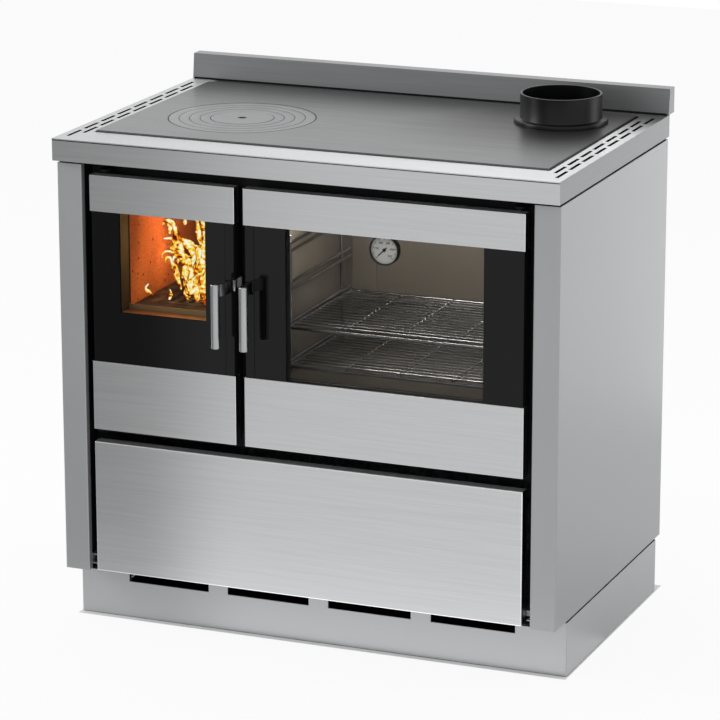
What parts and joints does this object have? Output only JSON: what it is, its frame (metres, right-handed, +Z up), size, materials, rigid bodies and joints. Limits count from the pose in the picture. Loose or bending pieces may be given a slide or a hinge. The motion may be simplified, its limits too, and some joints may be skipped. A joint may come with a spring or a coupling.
{
  "type": "wood cookstove",
  "caption": "Free-standing wood-burning range cooker: glazed fire door and oven door, log drawer, steel hob with lift-out rings and a top flue collar.",
  "frame": {"origin": "centre of the overall footprint on the floor, under the feet", "axes": "+Z up, +X to the cooker's right as seen from the front, +Y to the back; the front with its doors faces -Y"},
  "size_m": [0.9, 0.631, 0.9113],
  "materials": {
    "painted_steel": "satin grey paint",
    "brushed_steel": "brushed along X",
    "handle_steel": "satin turned",
    "black_steel": "matt heat-resistant black",
    "hob_steel": "ground satin grey",
    "cast_iron": "raw cast",
    "galvanised_steel": "zinc coated sheet",
    "oven_enamel": "semi-gloss brownish grey enamel",
    "chromed_wire": "bright",
    "fire_brick": "rough vermiculite board",
    "seal_rope": "woven glass fibre rope",
    "door_glass": "clear ceramic glass with a black printed border",
    "inner_glass": "clear",
    "warm_steel": "heat-tinted steel",
    "dial": "white dial in a black case",
    "needle": "black",
    "foot_plastic": "moulded"
  },
  "bodies": {
    "root": {"plinth": "painted_steel", "foot_front_left": "foot_plastic", "foot_front_right": "foot_plastic", "foot_rear_left": "foot_plastic", "foot_rear_right": "foot_plastic", "base_plate": "galvanised_steel", "side_panel_left": "painted_steel", "side_panel_right": "painted_steel", "rear_panel": "galvanised_steel", "front_frame": "black_steel", "worktop": "brushed_steel", "splash_guard": "brushed_steel", "hob_plate": "hob_steel", "flue_collar": "black_steel", "stove_shell": "black_steel", "fire_brick_left": "fire_brick", "fire_brick_right": "fire_brick", "fire_brick_back": "fire_brick", "fire_bed": "cast_iron", "fire_grate": "cast_iron", "ash_pan": "galvanised_steel", "baffle_plate": "cast_iron", "oven_box": "oven_enamel", "rack_ladder_left": "chromed_wire", "rack_ladder_right": "chromed_wire", "oven_rack_1": "chromed_wire", "oven_rack_2": "chromed_wire", "drawer_runner_left": "galvanised_steel", "drawer_runner_right": "galvanised_steel", "fire_hinge_upper": "black_steel", "fire_hinge_lower": "black_steel", "oven_hinge_upper": "black_steel", "oven_hinge_lower": "black_steel"},
    "fire_door": {"fire_door_frame": "black_steel", "fire_door_glass": "door_glass", "fire_door_top_band": "brushed_steel", "fire_door_lower_band": "brushed_steel", "fire_door_gasket": "seal_rope", "fire_window_trim": "warm_steel"},
    "fire_handle": {"fire_handle_rod": "handle_steel", "fire_handle_strap": "handle_steel"},
    "oven_door": {"oven_door_frame": "black_steel", "oven_door_seal_channel": "black_steel", "oven_door_glass": "door_glass", "oven_inner_glass": "inner_glass", "oven_door_top_band": "brushed_steel", "oven_door_lower_band": "brushed_steel", "oven_door_gasket": "seal_rope", "thermometer": "dial"},
    "oven_handle": {"oven_handle_rod": "handle_steel", "oven_handle_strap": "handle_steel"},
    "thermometer_needle": {"thermometer_needle": "needle"},
    "drawer": {"drawer_front": "brushed_steel", "drawer_bin": "galvanised_steel"},
    "hob_ring_1": {"hob_ring_1": "hob_steel"},
    "hob_ring_2": {"hob_ring_2": "hob_steel"},
    "hob_ring_3": {"hob_ring_3": "hob_steel"},
    "hob_ring_4": {"hob_ring_4": "hob_steel"},
    "hob_centre_disc": {"hob_centre_disc": "hob_steel"},
    "air_slide": {"air_slide": "black_steel"}
  },
  "joints": [
    {"name": "fire_door_swing", "type": "hinge", "parent": "root", "child": "fire_door", "pos_m": [-0.37, -0.2425, 0.5765], "axis": [0, 0, 1], "range_deg": [-95, 0]},
    {"name": "fire_handle_turn", "type": "hinge", "parent": "fire_door", "child": "fire_handle", "pos_m": [-0.132, -0.252, 0.629], "axis": [0, 0, 1], "range_deg": [-20, 0]},
    {"name": "oven_door_swing", "type": "hinge", "parent": "root", "child": "oven_door", "pos_m": [0.37, -0.2425, 0.5765], "axis": [0, 0, 1], "range_deg": [0, 95]},
    {"name": "oven_handle_turn", "type": "hinge", "parent": "oven_door", "child": "oven_handle", "pos_m": [-0.098, -0.252, 0.629], "axis": [0, 0, 1], "range_deg": [0, 20]},
    {"name": "thermometer_needle_turn", "type": "hinge", "parent": "oven_door", "child": "thermometer_needle", "pos_m": [0.1405, -0.2578, 0.714], "axis": [0, 1, 0], "range_deg": [0, 270]},
    {"name": "drawer_slide", "type": "slide", "parent": "root", "child": "drawer", "axis": [0, -1, 0], "range_m": [0, 0.4]},
    {"name": "hob_ring_1_lift", "type": "slide", "parent": "root", "child": "hob_ring_1", "axis": [0, 0, 1], "range_m": [0, 0.1]},
    {"name": "hob_ring_2_lift", "type": "slide", "parent": "hob_ring_1", "child": "hob_ring_2", "axis": [0, 0, 1], "range_m": [0, 0.1]},
    {"name": "hob_ring_3_lift", "type": "slide", "parent": "hob_ring_2", "child": "hob_ring_3", "axis": [0, 0, 1], "range_m": [0, 0.1]},
    {"name": "hob_ring_4_lift", "type": "slide", "parent": "hob_ring_3", "child": "hob_ring_4", "axis": [0, 0, 1], "range_m": [0, 0.1]},
    {"name": "hob_centre_disc_lift", "type": "slide", "parent": "hob_ring_4", "child": "hob_centre_disc", "axis": [0, 0, 1], "range_m": [0, 0.1]},
    {"name": "air_slide_travel", "type": "slide", "parent": "root", "child": "air_slide", "axis": [1, 0, 0], "range_m": [0, 0.02]}
  ]
}
